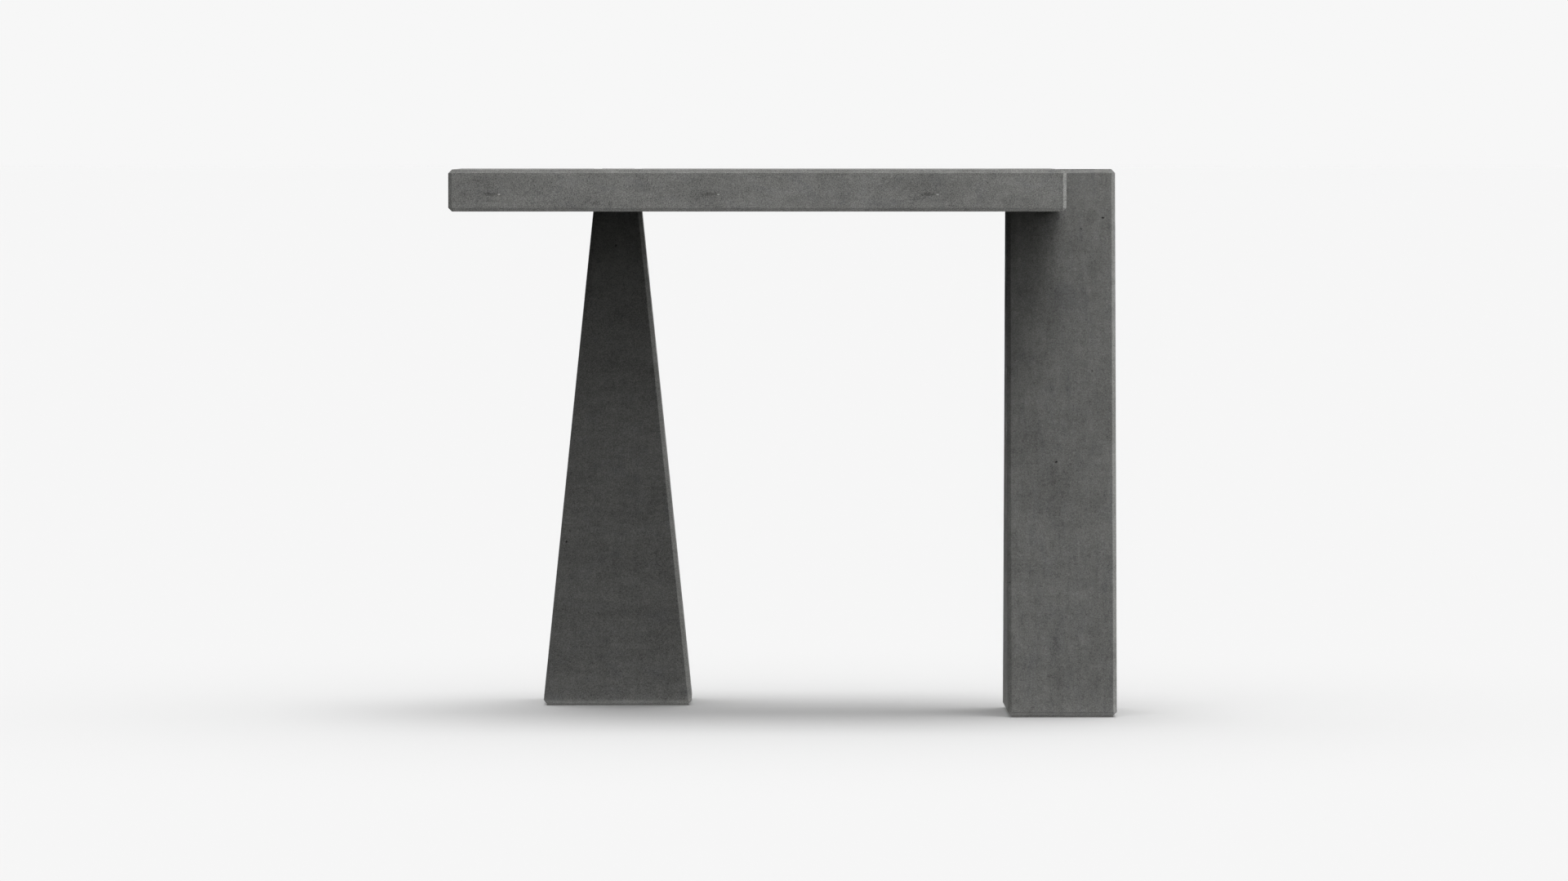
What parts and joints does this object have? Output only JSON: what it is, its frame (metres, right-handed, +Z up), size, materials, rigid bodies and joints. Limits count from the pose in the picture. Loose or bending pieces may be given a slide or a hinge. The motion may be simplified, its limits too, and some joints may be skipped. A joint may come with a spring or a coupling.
{
  "type": "console table",
  "caption": "Free-standing grey concrete console table: a thick chamfered slab let onto two wedge legs turned at right angles to each other.",
  "frame": {"origin": "on the floor, at the middle of the overall box", "axes": "+X to the right and +Y to the back as one stands in front of the table, +Z up"},
  "size_m": [0.913, 0.515, 0.752],
  "materials": {
    "concrete": "matte",
    "void_former": "matte",
    "reinforcement": "matte",
    "base_pad": "matte",
    "zinc_steel": "satin",
    "gasket": "matte",
    "former": "matte",
    "cover": "matte"
  },
  "bodies": {
    "root": {"tabletop_casting": "concrete", "tabletop_core": "void_former", "tabletop_bars": "reinforcement", "left_leg_casting": "concrete", "left_leg_core": "void_former", "left_leg_bars": "reinforcement", "left_base_pad": "base_pad", "left_sockets": "zinc_steel", "left_studs": "zinc_steel", "left_nuts": "zinc_steel", "left_clamp_plate": "zinc_steel", "left_gasket": "gasket", "left_pocket_former": "former", "left_pocket_cover": "cover", "left_cover_screws": "zinc_steel", "right_leg_casting": "concrete", "right_leg_core": "void_former", "right_leg_bars": "reinforcement", "right_base_pad": "base_pad", "right_sockets": "zinc_steel", "right_studs": "zinc_steel", "right_nuts": "zinc_steel", "right_clamp_plate": "zinc_steel", "right_gasket": "gasket", "right_pocket_former": "former", "right_pocket_cover": "cover", "right_cover_screws": "zinc_steel"}
  },
  "joints": []
}
